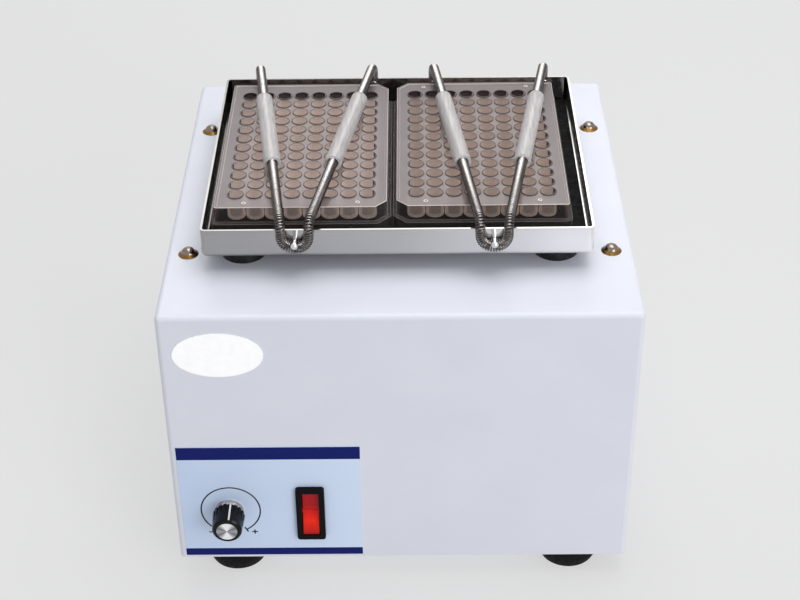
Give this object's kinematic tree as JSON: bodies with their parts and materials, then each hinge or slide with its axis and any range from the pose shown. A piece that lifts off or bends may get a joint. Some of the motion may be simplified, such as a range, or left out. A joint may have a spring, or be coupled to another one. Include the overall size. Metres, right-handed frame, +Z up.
{
  "type": "microplate shaker",
  "caption": "Bench-top orbital shaker: steel cabinet whose motor swings a shallow tray of well plates held by spring clamps.",
  "frame": {"origin": "middle of the whole part's footprint, at the surface the rubber feet stand on", "axes": "+Z up, -Y towards the front with the knob and switch, +X to the right seen from the front"},
  "size_m": [0.2278, 0.2528, 0.1919],
  "materials": {
    "casing": "semi-gloss off-white powder coat",
    "base_plate": "semi-gloss off-white powder coat",
    "cover_screws": "bright zinc plate",
    "feet": "moulded black rubber",
    "foot_screws": "bright zinc plate",
    "motor_bridge": "galvanised sheet",
    "cup_washers": "nickel-plated brass",
    "dome_screws": "nickel plate",
    "rubber_mounts": "glossy black rubber",
    "mount_studs": "bright zinc plate",
    "mount_nuts": "bright zinc plate",
    "motor_can": "zinc-plated drawn steel",
    "motor_screws": "bright zinc plate",
    "motor_magnets": "ground ferrite",
    "motor_end_cap": "moulded black phenolic",
    "control_label": "matt printed polycarbonate",
    "potentiometer": "plated steel can",
    "knob_washer": "bright nickel plate",
    "knob_nut": "bright nickel plate",
    "switch_housing": "moulded black nylon",
    "mains_inlet": "moulded black nylon",
    "inlet_pins": "nickel-plated brass",
    "inlet_screws": "bright zinc plate",
    "inlet_nuts": "bright zinc plate",
    "fuse_holder": "moulded black phenolic",
    "fuse_cap": "moulded black phenolic",
    "fuse_nut": "moulded black nylon",
    "board_standoffs": "natural nylon",
    "circuit_board": "green solder resist",
    "board_parts": "extruded and moulded parts",
    "transformer_core": "varnished laminations",
    "transformer_coil": "varnished copper winding",
    "motor_rotor": "varnished laminations",
    "motor_shaft": "ground steel",
    "crank_hub": "turned steel",
    "counterweight": "turned brass",
    "crank_grub_screw": "black oxide",
    "bearing_inner_ring": "ground bearing steel",
    "bearing_balls": "ground bearing steel",
    "pin_washer": "bright zinc plate",
    "pin_screw": "bright zinc plate",
    "bearing_outer_ring": "ground bearing steel",
    "bearing_housing": "turned aluminium",
    "housing_screws": "stainless steel",
    "tray": "satin stainless sheet",
    "tray_mat": "moulded black rubber",
    "mount_screws": "stainless steel",
    "clamp_pegs": "polished stainless steel",
    "left_microplate": "clear moulded polystyrene",
    "right_microplate": "clear moulded polystyrene",
    "left_clamp_spring": "bright spring wire",
    "right_clamp_spring": "bright spring wire",
    "left_clamp_sleeves": "translucent white silicone",
    "right_clamp_sleeves": "translucent white silicone",
    "speed_knob": "gloss black phenolic",
    "knob_cap": "spun aluminium",
    "knob_pointer": "white fill",
    "knob_shaft": "turned aluminium",
    "rocker": "gloss red nylon"
  },
  "bodies": {
    "cabinet": {"casing": "casing", "base_plate": "base_plate", "cover_screws": "cover_screws", "feet": "feet", "foot_screws": "foot_screws", "motor_bridge": "motor_bridge", "cup_washers": "cup_washers", "dome_screws": "dome_screws", "rubber_mounts": "rubber_mounts", "mount_studs": "mount_studs", "mount_nuts": "mount_nuts", "motor_can": "motor_can", "motor_screws": "motor_screws", "motor_magnets": "motor_magnets", "motor_end_cap": "motor_end_cap", "control_label": "control_label", "potentiometer": "potentiometer", "knob_washer": "knob_washer", "knob_nut": "knob_nut", "switch_housing": "switch_housing", "mains_inlet": "mains_inlet", "inlet_pins": "inlet_pins", "inlet_screws": "inlet_screws", "inlet_nuts": "inlet_nuts", "fuse_holder": "fuse_holder", "fuse_cap": "fuse_cap", "fuse_nut": "fuse_nut", "board_standoffs": "board_standoffs", "circuit_board": "circuit_board", "board_parts": "board_parts", "transformer_core": "transformer_core", "transformer_coil": "transformer_coil"},
    "crank": {"motor_rotor": "motor_rotor", "motor_shaft": "motor_shaft", "crank_hub": "crank_hub", "counterweight": "counterweight", "crank_grub_screw": "crank_grub_screw", "bearing_inner_ring": "bearing_inner_ring", "bearing_balls": "bearing_balls", "pin_washer": "pin_washer", "pin_screw": "pin_screw"},
    "platform": {"bearing_outer_ring": "bearing_outer_ring", "bearing_housing": "bearing_housing", "housing_screws": "housing_screws", "tray": "tray", "tray_mat": "tray_mat", "mount_screws": "mount_screws", "clamp_pegs": "clamp_pegs", "left_microplate": "left_microplate", "right_microplate": "right_microplate"},
    "left_clamp": {"left_clamp_spring": "left_clamp_spring", "left_clamp_sleeves": "left_clamp_sleeves"},
    "right_clamp": {"right_clamp_spring": "right_clamp_spring", "right_clamp_sleeves": "right_clamp_sleeves"},
    "knob": {"speed_knob": "speed_knob", "knob_cap": "knob_cap", "knob_pointer": "knob_pointer", "knob_shaft": "knob_shaft"},
    "rocker": {"rocker": "rocker"}
  },
  "joints": [
    {"name": "crank_spin", "type": "hinge", "parent": "cabinet", "child": "crank", "pos_m": [0, 0.0024, 0.14], "axis": [0, 0, 1], "continuous": true},
    {"name": "platform_orbit", "type": "hinge", "parent": "crank", "child": "platform", "pos_m": [-0.001, 0.0024, 0.159], "axis": [0, 0, 1], "continuous": true, "deforming": ["rubber_mounts"]},
    {"name": "left_clamp_swing", "type": "hinge", "parent": "platform", "child": "left_clamp", "pos_m": [-0.0483, 0.0813, 0.178], "axis": [-1, 0, 0], "range_deg": [0, 110], "deforming": ["left_clamp_spring"]},
    {"name": "right_clamp_swing", "type": "hinge", "parent": "platform", "child": "right_clamp", "pos_m": [0.044, 0.0813, 0.178], "axis": [-1, 0, 0], "range_deg": [0, 110], "deforming": ["right_clamp_spring"]},
    {"name": "speed_knob_turn", "type": "hinge", "parent": "cabinet", "child": "knob", "pos_m": [-0.0848, -0.118, 0.0433], "axis": [0, 1, 0], "range_deg": [-160, 140]},
    {"name": "rocker_tilt", "type": "hinge", "parent": "cabinet", "child": "rocker", "pos_m": [-0.0449, -0.1091, 0.0418], "axis": [1, 0, 0], "range_deg": [0, 18]}
  ],
  "couplings": [
    {"joint": "platform_orbit", "follows": "crank_spin", "ratio": -1}
  ]
}
